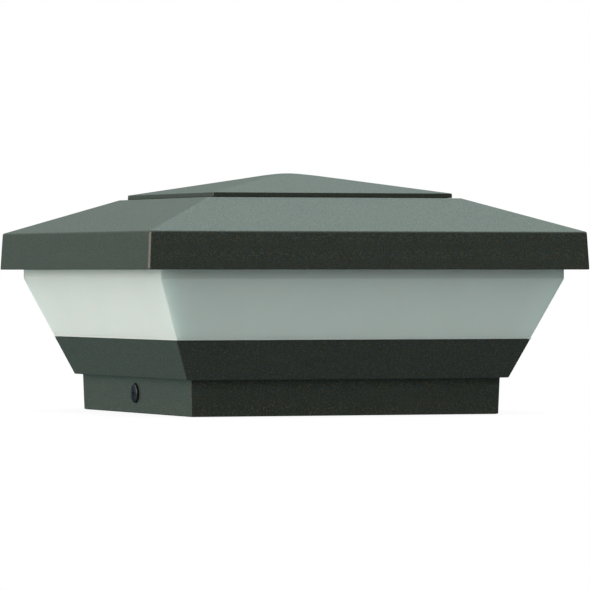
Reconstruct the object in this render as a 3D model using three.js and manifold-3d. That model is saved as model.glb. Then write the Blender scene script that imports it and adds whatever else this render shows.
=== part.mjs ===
// A square post cap light for a 4x4 (89 mm) post, in millimetres, +Z up.
// The collar drops over the post and one screw through each side wall holds it there.
// A frosted lens stands between the base casting and the roof casting. Four screws in countersunk holes
// in the top of the socket pull the two castings together through the roof's pillars.
// The LEDs hang under the roof deck and shine down on a white reflector, which lights the lens.
// The origin is the centre of the collar's lower rim. The front is -Y; the fixing screws are on -X and +X.
import * as THREE from "three";
import { mergeVertices } from "three/addons/utils/BufferGeometryUtils.js";
import Module from "manifold-3d";

// ---- driving dimensions; a "half" is half the width of a square section ----
const SOCKET_TOP_HALF = 46.25; // the post socket at its closed end, 1.75 mm clear of the post on each side
const SOCKET_MOUTH_HALF = 46.6; // and at its mouth, opened by the casting's draft
const COLLAR_BOTTOM_HALF = 48.43;
const COLLAR_TOP_HALF = 48.78;
const COLLAR_TOP_Z = 10.8;
const FLARE_BOTTOM_HALF = 50.63;
const FLARE_TOP_Z = 22.3;
const FACE_LEAN = 0.4275; // how far the flare and the lens lean out for each millimetre of height
const LENS_BEND_Z = 40.1; // above this the lens wall is upright
const LENS_TOP_Z = 50;
const EAVE_HALF = 69;
const EAVE_Z = 42.8;
const SKIRT_TOP_HALF = 68.41;
const SKIRT_TOP_Z = 53.85;
const DECK_TOP_HALF = 40; // flat seat of the peak plate
const DECK_TOP_Z = 64.03;
const PEAK_HALF = 38;
const PEAK_EDGE_Z = 65.47;
const PEAK_PITCH = 0.1812; // fall of the peak plate for each millimetre out from its centre
const PEAK_FLAT_HALF = 2.2; // the blunted tip

const GAP = 0.1; // between pieces that bear on each other
const WEB_BOTTOM_Z = 18; // the post's top bears here
const WEB_TOP_Z = 20.4;
const FLARE_LIP = 1.9; // thickness of the flare wall, measured level
const LENS_WALL = 2.4; // measured level
const GROOVE_HALF = 48.8; // inner wall of the groove that takes the lens foot
const GROOVE_Z = 14.5;
const ROOF_WALL = 2.2;
const ROOF_PLATE = 2.45; // thickness of the roof slope, measured upright
const DECK_BOTTOM_Z = 61.6;
const BOARD_BOTTOM_Z = 59.7;
const BOARD_THICK = 1.6;
const PILLAR_AT = 40; // the roof's four pillars, and the assembly screws in them
const PEAK_SCREW_AT = 14;
const LED_RING = 29; // how far the LEDs and the board screws are from the centre
const LED_AT = 12; // how far an LED is from the middle of its side
const REFLECTOR_TOP_Z = 35;
const REFLECTOR_WALL = 1.2;
const REFLECTOR_SCREW = [19, -19];
const DRIVER_Y = 12;
const DRIVER_LENGTH = 36;
const DRIVER_WIDTH = 18;
const DRIVER_TOP_Z = 31.2;
const EAR_AT = 23; // driver screws, along X
const TERMINAL = [15.5, -7];
const POLE_PITCH = 5;
const GROMMET_Y = -6; // where the supply cable comes through the web
const GROMMET_HOLE_R = 5;
const GROMMET_FLANGE_R = 6.8;
const GROMMET_RECESS = 0.9; // its lower flange is sunk this deep, so the post's top bears flat
const LED_WIRE_HOLE = [-12, -8];
const LED_WIRE_HOLE_R = 3.5;
const WIRE_R = 0.7;
const POST_R = 3; // the base casting's posts for the reflector and the driver
const PILLAR_R = 3.8;
const FIXING_Z = 5.9; // height of the two fixing screws
const FIXING_RECESS = 0.6; // depth of the seat sunk in the collar for each one's washer
const FIXING_HEAD_R = 2.85;

// Radii of the holes that screws go through, and of those they hold in.
const SMALL_CLEAR_R = 1.4;
const SMALL_TAP_R = 1.25;
const DECK_CLEAR_R = 1.7;
const DECK_TAP_R = 1.5;
const FIXING_CLEAR_R = 1.65;

const SCREW_SIDES = 20;
const ROUND_SIDES = 28;

const wasm = await Module();
wasm.setup();

// ---- slopes ----
const leanHalf = (z) => FLARE_BOTTOM_HALF + (z - COLLAR_TOP_Z) * FACE_LEAN;
const ROOF_PITCH = (DECK_TOP_Z - SKIRT_TOP_Z) / (SKIRT_TOP_HALF - DECK_TOP_HALF);
const roofUnderside = (half) => SKIRT_TOP_Z + (SKIRT_TOP_HALF - half) * ROOF_PITCH - ROOF_PLATE;
const deckUndersideHalf = SKIRT_TOP_HALF - (DECK_BOTTOM_Z + ROOF_PLATE - SKIRT_TOP_Z) / ROOF_PITCH;
const peakTop = (half) => PEAK_EDGE_Z + (PEAK_HALF - half) * PEAK_PITCH;
const reflectorUnderZ = REFLECTOR_TOP_Z - REFLECTOR_WALL;

// ---- solids ----
function toSolid(geometry) {
  const bare = geometry.index ? geometry.toNonIndexed() : geometry.clone();
  bare.deleteAttribute("normal");
  bare.deleteAttribute("uv");
  const merged = mergeVertices(bare, 1e-4);
  return new wasm.Manifold(
    new wasm.Mesh({
      numProp: 3,
      vertProperties: merged.attributes.position.array,
      triVerts: new Uint32Array(merged.index.array),
    }),
  );
}

function toGeometry(solid) {
  const mesh = solid.getMesh();
  const geometry = new THREE.BufferGeometry();
  geometry.setAttribute("position", new THREE.BufferAttribute(mesh.vertProperties, 3));
  geometry.setIndex(new THREE.BufferAttribute(mesh.triVerts, 1));
  geometry.computeVertexNormals();
  return geometry;
}

// One geometry from a body, what is added to it, and what is then cut away.
function carve(body, { add = [], cut = [] }) {
  let solid = toSolid(body);
  for (const piece of add) solid = solid.add(toSolid(piece));
  for (const piece of cut) solid = solid.subtract(toSolid(piece));
  return toGeometry(solid);
}

// A profile of [radius, z] turned about +Z, its points anticlockwise with the axis on the left.
function turned(profile, sides = ROUND_SIDES, start = 0) {
  const points = profile.map(([r, z]) => new THREE.Vector2(r, z));
  return new THREE.LatheGeometry(points, sides, start).rotateX(Math.PI / 2);
}

// The same profile swept round a square, with mitred corners: its first number is half the width there.
function square(profile) {
  return turned(profile.map(([half, z]) => [half * Math.SQRT2, z]), 4, Math.PI / 4);
}

const closed = (profile) => [...profile, profile[0]];

const tube = (inner, outer, z0, z1) =>
  closed([[inner, z0], [outer, z0], [outer, z1], [inner, z1]]);

function rod(radius, z0, z1, [x, y] = [0, 0], sides = ROUND_SIDES) {
  return turned([[0, z0], [radius, z0], [radius, z1], [0, z1]], sides).translate(x, y, 0);
}

function block([x0, x1], [y0, y1], [z0, z1]) {
  const geometry = new THREE.BoxGeometry(x1 - x0, y1 - y0, z1 - z0);
  return geometry.translate((x0 + x1) / 2, (y0 + y1) / 2, (z0 + z1) / 2);
}

const fourCorners = (at) => [[-at, -at], [at, -at], [at, at], [-at, at]];
const fourSides = (at) => [[0, -at], [at, 0], [0, at], [-at, 0]];
const bothEnds = (x, y) => [[-x, y], [x, y]];

// ---- materials ----
const finish = (color, roughness, metalness = 0) =>
  new THREE.MeshStandardMaterial({ color, roughness, metalness });
const bronzePaint = finish(0x4b5048, 0.6, 0.4);
const frostedLens = finish(0xdce0da, 0.55);
const darkSteel = finish(0x4a525a, 0.35, 0.9);
const zincSteel = finish(0xb4b8bc, 0.3, 1);
const blackRubber = finish(0x17181a, 0.85);
const greyPad = finish(0x8d9299, 0.9);
const boardWhite = finish(0xeceee9, 0.45);
const boardGreen = finish(0x1f5a38, 0.45);
const ledYellow = finish(0xe8d36a, 0.35);
const reflectorWhite = finish(0xf4f4f0, 0.3);
const caseBlack = finish(0x1d1f21, 0.55);
const resinBlack = finish(0x0e0f10, 0.15);
const terminalGrey = finish(0xc9ccca, 0.5);
const brass = finish(0xb08d3f, 0.3, 1);
const wireRed = finish(0xa8201c, 0.45);
const wireBlack = finish(0x141414, 0.45);

const light = new THREE.Group();

function place(name, geometry, material, parent = light) {
  const mesh = new THREE.Mesh(geometry, material);
  mesh.name = name;
  parent.add(mesh);
  return mesh;
}

// ---- castings ----
function baseCasting() {
  const body = square([
    [0, WEB_BOTTOM_Z],
    [SOCKET_TOP_HALF, WEB_BOTTOM_Z],
    [SOCKET_MOUTH_HALF, 0],
    [COLLAR_BOTTOM_HALF, 0],
    [COLLAR_TOP_HALF, COLLAR_TOP_Z],
    [FLARE_BOTTOM_HALF, COLLAR_TOP_Z],
    [leanHalf(FLARE_TOP_Z), FLARE_TOP_Z],
    [leanHalf(FLARE_TOP_Z) - FLARE_LIP, FLARE_TOP_Z],
    [leanHalf(GROOVE_Z) - FLARE_LIP, GROOVE_Z],
    [GROOVE_HALF, GROOVE_Z],
    [GROOVE_HALF, WEB_TOP_Z],
    [0, WEB_TOP_Z],
  ]);
  const sink = 0.4; // how far a boss runs into what it stands on
  const reflectorPosts = bothEnds(...REFLECTOR_SCREW);
  const driverPosts = bothEnds(EAR_AT, DRIVER_Y);
  return carve(body, {
    add: [
      ...reflectorPosts.map((at) => rod(POST_R, WEB_TOP_Z - sink, reflectorUnderZ - GAP, at)),
      ...driverPosts.map((at) => rod(POST_R, WEB_TOP_Z - sink, WEB_TOP_Z + 2, at)),
    ],
    cut: [
      rod(GROMMET_HOLE_R, WEB_BOTTOM_Z - 1, WEB_TOP_Z + 1, [0, GROMMET_Y]),
      rod(GROMMET_FLANGE_R + 0.25, WEB_BOTTOM_Z - 1, WEB_BOTTOM_Z + GROMMET_RECESS, [0, GROMMET_Y]),
      ...reflectorPosts.map((at) => rod(SMALL_TAP_R, 26, REFLECTOR_TOP_Z, at, SCREW_SIDES)),
      ...driverPosts.map((at) => rod(SMALL_TAP_R, WEB_BOTTOM_Z + 1.2, WEB_TOP_Z + 3, at, SCREW_SIDES)),
      ...fourCorners(PILLAR_AT).map(([x, y]) => countersink().translate(x, y, WEB_BOTTOM_Z)),
      ...[-1, 1].map((side) => fixingHole(side)),
    ],
  });
}

// A hole for a flat-head assembly screw, its mouth at z = 0.
function countersink() {
  return turned([[0, -1], [3.65, -1], [3.65, 0.1], [1.75, 2], [1.75, 4], [0, 4]], SCREW_SIDES);
}

const fixingWallHalf =
  COLLAR_BOTTOM_HALF + ((COLLAR_TOP_HALF - COLLAR_BOTTOM_HALF) * FIXING_Z) / COLLAR_TOP_Z;

// The hole through one side wall, with the seat for the washer at its outer end.
function fixingHole(side) {
  const seat = fixingWallHalf - FIXING_RECESS;
  const hole = turned([
    [0, SOCKET_TOP_HALF - 1],
    [FIXING_CLEAR_R, SOCKET_TOP_HALF - 1],
    [FIXING_CLEAR_R, seat],
    [FIXING_HEAD_R + 0.2, seat],
    [FIXING_HEAD_R + 0.2, COLLAR_TOP_HALF + 1],
    [0, COLLAR_TOP_HALF + 1],
  ]);
  return hole.rotateY((side * Math.PI) / 2).translate(0, 0, FIXING_Z);
}

function roofCasting() {
  const rib = { inner: 58.5, outer: 60.3, bottom: 47.5 }; // keeps the lens rim in place from inside
  const land = { outer: 64.2, z: LENS_TOP_Z + 1.9 }; // the top gasket bears here
  const groove = { inner: 34.9, outer: 36.7, bottom: 63.1 };
  const skirtInner = SKIRT_TOP_HALF - ROOF_WALL;
  const deckScrews = [...fourSides(LED_RING), ...fourCorners(PEAK_SCREW_AT)];
  const body = square([
    [0, DECK_BOTTOM_Z],
    [deckUndersideHalf, DECK_BOTTOM_Z],
    [rib.inner, roofUnderside(rib.inner)],
    [rib.inner, rib.bottom],
    [rib.outer, rib.bottom],
    [rib.outer, land.z],
    [land.outer, land.z],
    [land.outer, roofUnderside(land.outer)],
    [skirtInner, roofUnderside(skirtInner)],
    [EAVE_HALF - ROOF_WALL, EAVE_Z],
    [EAVE_HALF, EAVE_Z],
    [SKIRT_TOP_HALF, SKIRT_TOP_Z],
    [DECK_TOP_HALF, DECK_TOP_Z],
    [groove.outer, DECK_TOP_Z],
    [groove.outer, groove.bottom],
    [groove.inner, groove.bottom],
    [groove.inner, DECK_TOP_Z],
    [0, DECK_TOP_Z],
  ]);
  return carve(body, {
    add: fourCorners(PILLAR_AT).map((at) => rod(PILLAR_R, WEB_TOP_Z + GAP, DECK_BOTTOM_Z + 0.4, at)),
    cut: [
      ...fourCorners(PILLAR_AT).map((at) => rod(DECK_CLEAR_R, WEB_TOP_Z - 1, 35, at, SCREW_SIDES)),
      ...deckScrews.map((at) => rod(DECK_TAP_R, DECK_BOTTOM_Z - 1, DECK_TOP_Z + 1, at, SCREW_SIDES)),
    ],
  });
}

function peakPlate() {
  const thick = 2.1;
  const seat = DECK_TOP_Z + GAP;
  const bossTop = seat + 4;
  const innerHalf = PEAK_HALF - (seat + thick - PEAK_EDGE_Z) / PEAK_PITCH;
  const body = square([
    [0, peakTop(0) - thick],
    [innerHalf, seat],
    [PEAK_HALF, seat],
    [PEAK_HALF - 0.06, PEAK_EDGE_Z],
    [PEAK_FLAT_HALF, peakTop(PEAK_FLAT_HALF)],
    [0, peakTop(PEAK_FLAT_HALF)],
  ]);
  return carve(body, {
    add: fourCorners(PEAK_SCREW_AT).map((at) => rod(POST_R, seat, bossTop, at)),
    cut: fourCorners(PEAK_SCREW_AT).map((at) => rod(DECK_TAP_R, seat - 1, bossTop - GAP, at, SCREW_SIDES)),
  });
}

// ---- lens and seals ----
function lensShell() {
  const bottom = FLARE_TOP_Z + 0.3;
  const foot = { inner: 49.5, top: 23.6, bottom: 16.5, clear: FLARE_LIP + 0.2 };
  const rimInner = leanHalf(LENS_BEND_Z) - 2.26;
  return square(closed([
    [foot.inner, foot.bottom],
    [leanHalf(foot.bottom) - foot.clear, foot.bottom],
    [leanHalf(bottom) - foot.clear, bottom],
    [leanHalf(bottom), bottom],
    [leanHalf(LENS_BEND_Z), LENS_BEND_Z],
    [leanHalf(LENS_BEND_Z), LENS_TOP_Z],
    [rimInner, LENS_TOP_Z],
    [rimInner, LENS_BEND_Z + 0.4],
    [leanHalf(foot.top) - LENS_WALL, foot.top],
    [foot.inner + 2.1, foot.top],
  ]));
}

const seals = {
  lens_foot_gasket: tube(GROOVE_HALF + 0.15, leanHalf(GROOVE_Z) - FLARE_LIP - 0.15, GROOVE_Z + GAP, 16.4),
  lens_top_gasket: tube(60.5, 63.1, LENS_TOP_Z + GAP, LENS_TOP_Z + 1.8),
  peak_seal: tube(35.1, 36.5, 63.2, DECK_TOP_Z + GAP / 2),
};

// ---- light source ----
function ledBoard() {
  const body = square(tube(21, 36, BOARD_BOTTOM_Z, BOARD_BOTTOM_Z + BOARD_THICK));
  return carve(body, {
    cut: fourSides(LED_RING).map((at) =>
      rod(DECK_CLEAR_R, BOARD_BOTTOM_Z - 1, DECK_BOTTOM_Z, at, SCREW_SIDES)),
  });
}

function thermalPad() {
  const body = square(tube(21.5, 35.5, BOARD_BOTTOM_Z + BOARD_THICK + 0.02, DECK_BOTTOM_Z - 0.03));
  return carve(body, {
    cut: fourSides(LED_RING).map((at) => rod(DECK_CLEAR_R, BOARD_BOTTOM_Z, DECK_TOP_Z, at, SCREW_SIDES)),
  });
}

// A surface-mount LED, lens down: a white body with the light well in its lower face.
function ledPackage() {
  const body = block([-1.75, 1.75], [-1.4, 1.4], [-0.75, -0.03]);
  const well = turned([[0, -1], [1.15, -1], [1.05, -0.55], [0, -0.55]], SCREW_SIDES);
  return carve(body, { cut: [well] });
}

const ledPlaces = [-LED_AT, LED_AT].flatMap((along) => [
  { at: [along, -LED_RING], turn: 0 },
  { at: [LED_RING, along], turn: Math.PI / 2 },
  { at: [-along, LED_RING], turn: 0 },
  { at: [-LED_RING, -along], turn: Math.PI / 2 },
]);

function reflectorTray() {
  const rim = { outer: 48, inner: 46.6, z: WEB_TOP_Z + GAP, kneeZ: 21.9 };
  const hole = (radius, at, sides) => rod(radius, WEB_TOP_Z, REFLECTOR_TOP_Z + 1, at, sides);
  const body = square([
    [0, reflectorUnderZ],
    [23.5, reflectorUnderZ],
    [rim.inner, rim.kneeZ - 0.8],
    [rim.inner, rim.z],
    [rim.outer, rim.z],
    [rim.outer, rim.kneeZ],
    [24, REFLECTOR_TOP_Z],
    [0, REFLECTOR_TOP_Z],
  ]);
  return carve(body, {
    cut: [
      ...fourCorners(PILLAR_AT).map((at) => hole(PILLAR_R + 0.7, at)),
      ...bothEnds(...REFLECTOR_SCREW).map((at) => hole(SMALL_CLEAR_R, at, SCREW_SIDES)),
      hole(LED_WIRE_HOLE_R, LED_WIRE_HOLE),
    ],
  });
}

// A rubber ring in a hole through a plate: bore, neck and flange are radii, and the plate and ring
// are each given by their lower and upper faces.
function grommet(bore, neck, flange, plate, ring) {
  return turned(closed([
    [bore, ring[0]],
    [flange, ring[0]],
    [flange, plate[0] - GAP],
    [neck, plate[0] - GAP],
    [neck, plate[1] + GAP],
    [flange, plate[1] + GAP],
    [flange, ring[1]],
    [bore, ring[1]],
  ]));
}

function wireBush() {
  const plate = [reflectorUnderZ, REFLECTOR_TOP_Z];
  const ring = [reflectorUnderZ - 1, REFLECTOR_TOP_Z + 1];
  const bush = grommet(2.5, LED_WIRE_HOLE_R - 0.2, LED_WIRE_HOLE_R + 0.8, plate, ring);
  return bush.translate(...LED_WIRE_HOLE, 0);
}

function cableGrommet() {
  const plate = [WEB_BOTTOM_Z + GROMMET_RECESS, WEB_TOP_Z];
  const ring = [WEB_BOTTOM_Z + GAP / 2, WEB_TOP_Z + 1.6];
  return grommet(3.4, GROMMET_HOLE_R - 0.15, GROMMET_FLANGE_R, plate, ring).translate(0, GROMMET_Y, 0);
}

// ---- driver ----
const driverX = [-DRIVER_LENGTH / 2, DRIVER_LENGTH / 2];
const driverY = [DRIVER_Y - DRIVER_WIDTH / 2, DRIVER_Y + DRIVER_WIDTH / 2];
const shrink = ([low, high], by) => [low + by, high - by];

function driverCase() {
  const wall = 1.4;
  const floor = WEB_TOP_Z + GAP;
  const earZ = [WEB_TOP_Z + 2.1, WEB_TOP_Z + 3.9];
  const earR = 3.6;
  return carve(block(driverX, driverY, [floor, DRIVER_TOP_Z]), {
    add: [
      ...bothEnds(EAR_AT, DRIVER_Y).map((at) => rod(earR, ...earZ, at)),
      block([-EAR_AT, EAR_AT], [DRIVER_Y - earR, DRIVER_Y + earR], earZ),
    ],
    cut: [
      block(shrink(driverX, wall), shrink(driverY, wall), [floor + wall, DRIVER_TOP_Z + 1]),
      ...bothEnds(EAR_AT, DRIVER_Y).map((at) => rod(SMALL_CLEAR_R, floor, DRIVER_TOP_Z, at, SCREW_SIDES)),
    ],
  });
}

const potX = shrink(driverX, 1.7);
const potY = shrink(driverY, 1.7);

function terminalBlock() {
  const [x, y] = TERMINAL;
  const poles = [x - POLE_PITCH / 2, x + POLE_PITCH / 2];
  const body = block([x - 5, x + 5], [y - 6, y + 6], [WEB_TOP_Z + GAP, 30]);
  const entry = (at) => rod(1.4, -8, 8, [0, 0], SCREW_SIDES).rotateX(Math.PI / 2).translate(at, y, 24);
  return carve(body, {
    cut: [
      ...poles.map(entry),
      ...poles.map((at) => rod(1.7, 24, 31, [at, y], SCREW_SIDES)),
      block([x - 0.5, x + 0.5], [y - 7, y + 7], [27.5, 31]),
    ],
  });
}

function terminalScrew() {
  const body = rod(1.55, 24.4, 28, [0, 0], SCREW_SIDES);
  return carve(body, { cut: [block([-2, 2], [-0.25, 0.25], [27.3, 29])] });
}

// ---- wires: an eight-sided tube along a smooth curve through points chosen by hand ----
function wire(points, steps) {
  const corners = points.map((point) => new THREE.Vector3(...point));
  const extrudePath = new THREE.CatmullRomCurve3(corners, false, "centripetal");
  const sides = 8;
  const section = new THREE.Shape();
  for (let i = 0; i < sides; i += 1) {
    const angle = (2 * Math.PI * i) / sides;
    const corner = [WIRE_R * Math.cos(angle), WIRE_R * Math.sin(angle)];
    if (i === 0) section.moveTo(...corner);
    else section.lineTo(...corner);
  }
  section.closePath();
  return new THREE.ExtrudeGeometry(section, { steps, extrudePath });
}

const RESIN_TOP_Z = 30.6;
const wireEndZ = RESIN_TOP_Z + GAP;

// From the driver's resin, over its wall, down and up through the bush, to the LED board.
function ledWire(offset) {
  const start = -10 + offset;
  const rise = LED_WIRE_HOLE[0] + offset;
  return wire([
    [start, 10, wireEndZ],
    [start, 10, 31.4],
    [start - 0.2, 8.4, 32.5],
    [start - 0.6, 5.4, 32.7],
    [start - 1, 2.2, 32.2],
    [rise + 0.3, -1.4, 30.6],
    [rise, -5, 29.7],
    [rise, -7.5, 31],
    [rise, -8.1, 34.4],
    [rise, -8.6, 39],
    [rise, -12.5, 47],
    [rise, -19, 52.5],
    [rise, -22.9, 56],
    [rise, -23.4, 58.6],
    [rise, -23.4, BOARD_BOTTOM_Z - GAP],
  ], 36);
}

// From under a terminal screw, up between the block and the driver, over its wall into the resin.
function supplyWire(fromX, toX) {
  const clampY = TERMINAL[1] + 2;
  const gapY = 1.1;
  const lowZ = 23.5;
  return wire([
    [fromX, clampY, lowZ],
    [fromX, gapY - 2.1, lowZ],
    [fromX, gapY - 0.5, lowZ + 0.6],
    [fromX, gapY, lowZ + 2.6],
    [(3 * fromX + toX) / 4, gapY, 29.6],
    [(fromX + toX) / 2, gapY + 1.2, 32.2],
    [(fromX + 3 * toX) / 4, gapY + 3.6, 32.7],
    [toX, gapY + 6, 32.2],
    [toX, gapY + 6.7, 31.3],
    [toX, gapY + 6.7, wireEndZ],
  ], 26);
}

// ---- fasteners, head up, with the underside of the head at z = 0 ----
function crossRecess(size, top, depth) {
  const arm = size / 2;
  const web = size / 7;
  return [
    block([-arm, arm], [-web, web], [top - depth, top + 1]),
    block([-web, web], [-arm, arm], [top - depth, top + 1]),
  ];
}

function panScrew({ headR, headH, shankR, length }) {
  const body = turned([
    [0, -length],
    [shankR * 0.35, -length],
    [shankR, -length + shankR],
    [shankR, 0],
    [headR, 0],
    [headR, headH * 0.45],
    [headR * 0.78, headH * 0.88],
    [0, headH],
  ], SCREW_SIDES);
  return carve(body, { cut: crossRecess(headR, headH, headH * 0.75) });
}

function flatScrew({ headR, headH, shankR, length }) {
  const body = turned([
    [0, -length],
    [shankR * 0.5, -length],
    [shankR, -length + shankR],
    [shankR, -headH],
    [headR, -0.15],
    [headR, 0],
    [0, 0],
  ], SCREW_SIDES);
  return carve(body, { cut: crossRecess(headR, 0, headH * 0.7) });
}

const smallScrew = (length) => panScrew({ headR: 2.6, headH: 1.5, shankR: 1.1, length });
const deckScrew = (length) => panScrew({ headR: 2.8, headH: 1.6, shankR: 1.3, length });

// Copies of one screw, named name_1, name_2 and so on, with the undersides of their heads at headZ.
function placeScrews(name, places, headZ, geometry, headDown = false) {
  places.forEach(([x, y], i) => {
    const mesh = place(`${name}_${i + 1}`, geometry, zincSteel);
    mesh.position.set(x, y, headZ);
    if (headDown) mesh.rotation.x = Math.PI;
  });
}

// A fixing screw and its washer in one side wall: side is -1 for -X and 1 for +X.
function fixing(side, label) {
  const washer = { bottom: GAP, top: GAP + 0.35 }; // heights above the seat in the wall
  const group = new THREE.Group();
  group.position.set(side * (fixingWallHalf - FIXING_RECESS), 0, FIXING_Z);
  group.rotation.y = (side * Math.PI) / 2;
  light.add(group);
  const ring = turned(tube(1.6, FIXING_HEAD_R, washer.bottom, washer.top));
  place(`fixing_washer_${label}`, ring, blackRubber, group);
  const screw = panScrew({ headR: FIXING_HEAD_R, headH: 0.85, shankR: 1.4, length: 12 });
  place(`fixing_screw_${label}`, screw, darkSteel, group).position.z = washer.top + GAP;
}

// ---- assembly ----
place("base_casting", baseCasting(), bronzePaint);
place("roof_casting", roofCasting(), bronzePaint);
place("peak_plate", peakPlate(), bronzePaint);
place("lens", lensShell(), frostedLens);
for (const [name, profile] of Object.entries(seals)) place(name, square(profile), blackRubber);

place("led_board", ledBoard(), boardWhite);
place("thermal_pad", thermalPad(), greyPad);
const ledGeometry = ledPackage();
ledPlaces.forEach(({ at, turn }, i) => {
  const led = place(`led_${i + 1}`, ledGeometry, ledYellow);
  led.position.set(...at, BOARD_BOTTOM_Z);
  led.rotation.z = turn;
});
place("reflector", reflectorTray(), reflectorWhite);
place("wire_bush", wireBush(), blackRubber);
place("cable_grommet", cableGrommet(), blackRubber);

place("driver_case", driverCase(), caseBlack);
place("driver_board", block(potX, potY, [22, 23.2]), boardGreen);
place("driver_resin", block(potX, potY, [23.3, RESIN_TOP_Z]), resinBlack);
place("terminal_block", terminalBlock(), terminalGrey);
[-1, 1].forEach((side, i) => {
  const screw = place(`terminal_screw_${i + 1}`, terminalScrew(), brass);
  screw.position.set(TERMINAL[0] + (side * POLE_PITCH) / 2, TERMINAL[1], 0);
});
place("led_wire_red", ledWire(-1.2), wireRed);
place("led_wire_black", ledWire(1.2), wireBlack);
place("supply_wire_1", supplyWire(TERMINAL[0] - POLE_PITCH / 2, 9.5), wireBlack);
place("supply_wire_2", supplyWire(TERMINAL[0] + POLE_PITCH / 2, 13.5), wireBlack);

const assemblyScrew = flatScrew({ headR: 3.3, headH: 1.75, shankR: 1.5, length: 15 });
placeScrews("assembly_screw", fourCorners(PILLAR_AT), WEB_BOTTOM_Z + 0.05, assemblyScrew, true);
placeScrews("peak_screw", fourCorners(PEAK_SCREW_AT), DECK_BOTTOM_Z - GAP, deckScrew(6), true);
placeScrews("board_screw", fourSides(LED_RING), BOARD_BOTTOM_Z - GAP, deckScrew(4.2), true);
placeScrews("reflector_screw", bothEnds(...REFLECTOR_SCREW), REFLECTOR_TOP_Z + GAP, smallScrew(8));
placeScrews("driver_screw", bothEnds(EAR_AT, DRIVER_Y), WEB_TOP_Z + 4, smallScrew(4.6));
fixing(-1, "left");
fixing(1, "right");

export default light;
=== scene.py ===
import math

import bmesh
import bpy
from mathutils import Matrix, Vector


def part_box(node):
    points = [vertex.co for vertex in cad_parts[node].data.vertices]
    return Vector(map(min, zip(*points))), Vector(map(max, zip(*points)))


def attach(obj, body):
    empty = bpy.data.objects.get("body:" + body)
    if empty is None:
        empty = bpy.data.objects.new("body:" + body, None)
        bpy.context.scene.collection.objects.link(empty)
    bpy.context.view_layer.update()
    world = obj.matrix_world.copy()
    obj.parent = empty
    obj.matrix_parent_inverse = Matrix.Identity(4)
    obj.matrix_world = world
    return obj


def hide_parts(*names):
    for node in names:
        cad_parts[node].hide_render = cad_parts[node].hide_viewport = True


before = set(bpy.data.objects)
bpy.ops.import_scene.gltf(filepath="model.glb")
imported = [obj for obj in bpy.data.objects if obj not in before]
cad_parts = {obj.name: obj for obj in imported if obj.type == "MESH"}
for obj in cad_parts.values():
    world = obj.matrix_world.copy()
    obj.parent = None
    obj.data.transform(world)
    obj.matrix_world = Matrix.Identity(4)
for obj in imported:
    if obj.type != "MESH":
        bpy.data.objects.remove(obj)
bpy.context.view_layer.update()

MM = 0.001


def in_mm(node):
    """A CAD node's lowest and highest corner, in millimetres."""
    low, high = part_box(node)
    return low / MM, high / MM


# ---- sizes taken from the frame ----
ROOF_HIGH = in_mm("roof_casting")[1]
PEAK_LOW, PEAK_HIGH = in_mm("peak_plate")
LENS_LOW, LENS_HIGH = in_mm("lens")
BASE_HIGH = in_mm("base_casting")[1]
BOARD_LOW, BOARD_HIGH = in_mm("led_board")
REFLECTOR_LOW, REFLECTOR_HIGH = in_mm("reflector")

# ---- sizes of the castings and the lens ----
# A "half" is the distance from the middle to a side, and a "corner" is a radius seen from above.
OUTER_CORNER = 0.4  # outside corners of the roof and the peak plate
SKIRT_CORNER = (0.25, 0.42)  # the skirt's upright corners: radius and flat
FLARE_CORNER = 0.3
LENS_CORNER = 0.2
LENS_INSIDE_CORNER = 6
INNER_CORNER = 1.3
EAVE_HALF = ROOF_HIGH.x
EAVE_Z = 42.8
SKIRT_TOP_HALF = EAVE_HALF - 0.59
SKIRT_TOP_Z = 53.85
DECK_TOP_Z = ROOF_HIGH.z
DECK_TOP_HALF = 40
DECK_BOTTOM_Z = BOARD_HIGH.z + 0.3
ROOF_WALL = 2.2
ROOF_PLATE = 2.45  # upright thickness of the sloping roof
ROOF_PITCH = (DECK_TOP_Z - SKIRT_TOP_Z) / (SKIRT_TOP_HALF - DECK_TOP_HALF)
PILLAR_AT = 40  # distance of the four pillars from the middle, in x and in y
PILLAR_R = 3.8

PEAK_HALF = PEAK_HIGH.x
PEAK_SEAT_Z = PEAK_LOW.z
PEAK_EDGE_Z = 65.47
PEAK_PITCH = 0.1812
PEAK_TIP_R = 38  # radius of the blend over the tip
PEAK_TIP_LIFT = 0.14  # how far the blend stands above the plain pyramid's own rounding
PEAK_SCREW_AT = 14

COLLAR_BOTTOM_HALF = 48.43
COLLAR_TOP_HALF = 48.78
COLLAR_TOP_Z = 10.8
FLARE_BOTTOM_HALF = 50.63
FLARE_TOP_Z = 22.3
FACE_LEAN = 0.4275  # how far the flare and the lens widen for each mm of height
FLARE_LIP = 1.9
FLARE_PROUD = 0.12  # how far the flare stands out from the lens's line
SOCKET_TOP_HALF = 46.25
SOCKET_MOUTH_HALF = 46.6
WEB_BOTTOM_Z = 18
WEB_TOP_Z = REFLECTOR_LOW.z - 0.1
GROOVE_HALF = 48.8  # the groove that the lens's foot stands in
GROOVE_Z = 14.5

LENS_BEND_Z = 40.1
LENS_TOP_Z = LENS_HIGH.z
LENS_WALL = 2.4

GROMMET_Y = -6
GROMMET_RECESS = 0.9
LED_RING = 29
REFLECTOR_SCREWS = [(-19, -19), (19, -19)]
DRIVER_SCREWS = [(-23, 12), (23, 12)]
LED_WIRE_HOLE = (-12, -8)
REFLECTOR_TOP_Z = REFLECTOR_HIGH.z
REFLECTOR_WALL = 1.2
FIXING_Z = 5.9
FIXING_RECESS = 0.6  # how far the fixing screw's seat is sunk into the collar
FIXING_HOLE_R = 1.65
FIXING_HEAD_R = 2.75


def lean_half(z):
    """Half the width of the flare and of the lens at a height."""
    return FLARE_BOTTOM_HALF + (z - COLLAR_TOP_Z) * FACE_LEAN


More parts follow.
